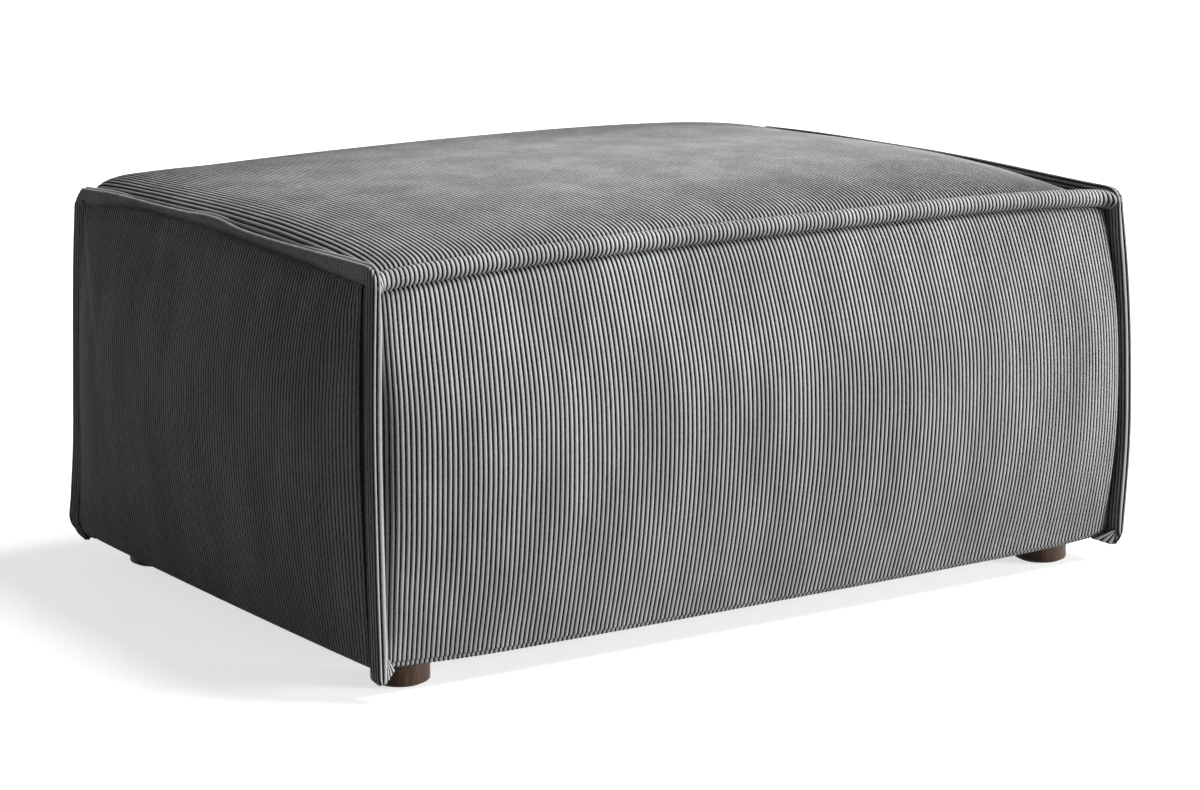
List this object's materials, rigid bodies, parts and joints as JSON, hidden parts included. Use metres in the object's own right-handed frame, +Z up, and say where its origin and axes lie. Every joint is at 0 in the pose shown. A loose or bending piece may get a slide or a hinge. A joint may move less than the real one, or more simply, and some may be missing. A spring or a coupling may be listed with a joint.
{
  "type": "pouf",
  "caption": "Low rectangular upholstered pouf in ribbed corduroy, with softly swollen panels, proud flange seams and short round feet.",
  "frame": {"origin": "on the floor, under the middle of the pouf", "axes": "+X along the length, -Y out of the front, +Z up"},
  "size_m": [1.0314, 0.733, 0.469],
  "materials": {
    "corduroy": "dark grey wide-wale corduroy, matt with a soft sheen on the wales",
    "dust_cloth": "black non-woven cloth",
    "foot_wood": "dark stained, satin",
    "glide_nylon": "moulded",
    "frame_wood": "planed pine, raw",
    "hardboard": "pressed board",
    "dowel_wood": "beech, raw",
    "zinc_steel": "zinc plated",
    "spring_steel": "black lacquered spring wire",
    "wrapped_wire": "paper-wrapped steel wire",
    "felt": "mixed-fibre needle felt",
    "foam": "open-cell polyurethane foam",
    "wadding": "polyester wadding"
  },
  "bodies": {
    "root": {"top_cover_panel": "corduroy", "front_cover_panel": "corduroy", "back_cover_panel": "corduroy", "left_cover_panel": "corduroy", "right_cover_panel": "corduroy", "front_top_flange": "corduroy", "back_top_flange": "corduroy", "left_side_flange": "corduroy", "right_side_flange": "corduroy", "dust_cover": "dust_cloth", "front_left_foot": "foot_wood", "front_right_foot": "foot_wood", "back_left_foot": "foot_wood", "back_right_foot": "foot_wood", "foot_glides": "glide_nylon", "front_bottom_rail": "frame_wood", "back_bottom_rail": "frame_wood", "left_bottom_rail": "frame_wood", "right_bottom_rail": "frame_wood", "front_top_rail": "frame_wood", "back_top_rail": "frame_wood", "left_top_rail": "frame_wood", "right_top_rail": "frame_wood", "front_left_post": "frame_wood", "front_right_post": "frame_wood", "back_left_post": "frame_wood", "back_right_post": "frame_wood", "front_middle_post": "frame_wood", "back_middle_post": "frame_wood", "centre_stretcher": "frame_wood", "front_skin": "hardboard", "back_skin": "hardboard", "left_skin": "hardboard", "right_skin": "hardboard", "rail_dowels": "dowel_wood", "dust_cover_staples": "zinc_steel", "frame_screws": "zinc_steel", "spring_clips": "zinc_steel", "clip_nails": "zinc_steel", "foot_studs": "zinc_steel", "tee_nuts": "zinc_steel", "zigzag_spring_1": "spring_steel", "zigzag_spring_2": "spring_steel", "zigzag_spring_3": "spring_steel", "zigzag_spring_4": "spring_steel", "zigzag_spring_5": "spring_steel", "zigzag_spring_6": "spring_steel", "zigzag_spring_7": "spring_steel", "spring_tie_wires": "wrapped_wire", "insulator_felt": "felt", "seat_foam": "foam", "front_foam": "foam", "back_foam": "foam", "left_foam": "foam", "right_foam": "foam", "seat_wadding": "wadding", "front_wadding": "wadding", "back_wadding": "wadding", "left_wadding": "wadding", "right_wadding": "wadding"}
  },
  "joints": []
}
